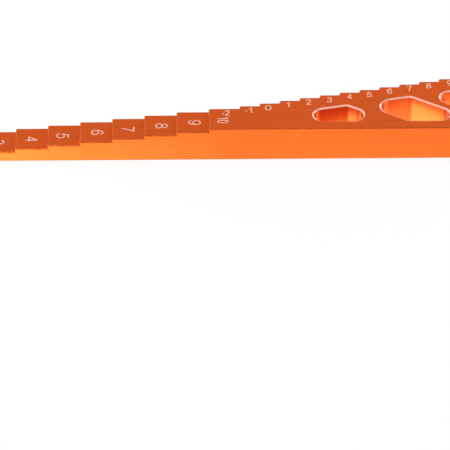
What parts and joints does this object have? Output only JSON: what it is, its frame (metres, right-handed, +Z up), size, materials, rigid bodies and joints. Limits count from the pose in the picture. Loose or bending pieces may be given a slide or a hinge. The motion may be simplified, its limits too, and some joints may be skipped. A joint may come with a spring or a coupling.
{
  "type": "ride height gauge",
  "caption": "Long flat bar with numbered steps in thickness at the narrow end and numbered steps in width at the wide end, lightened by rounded openings.",
  "frame": {"origin": "middle of the bounding box, on the flat underside", "axes": "+X along the bar from the thin tip to the wide end; the straight front face looks to -Y and the width steps face +Y; +Z up, out of the numbered broad face"},
  "size_m": [0.1238, 0.02, 0.01],
  "materials": {
    "anodised_body": "orange anodised, fine brushed"
  },
  "bodies": {
    "root": {"gauge_bar": "anodised_body"}
  },
  "joints": []
}
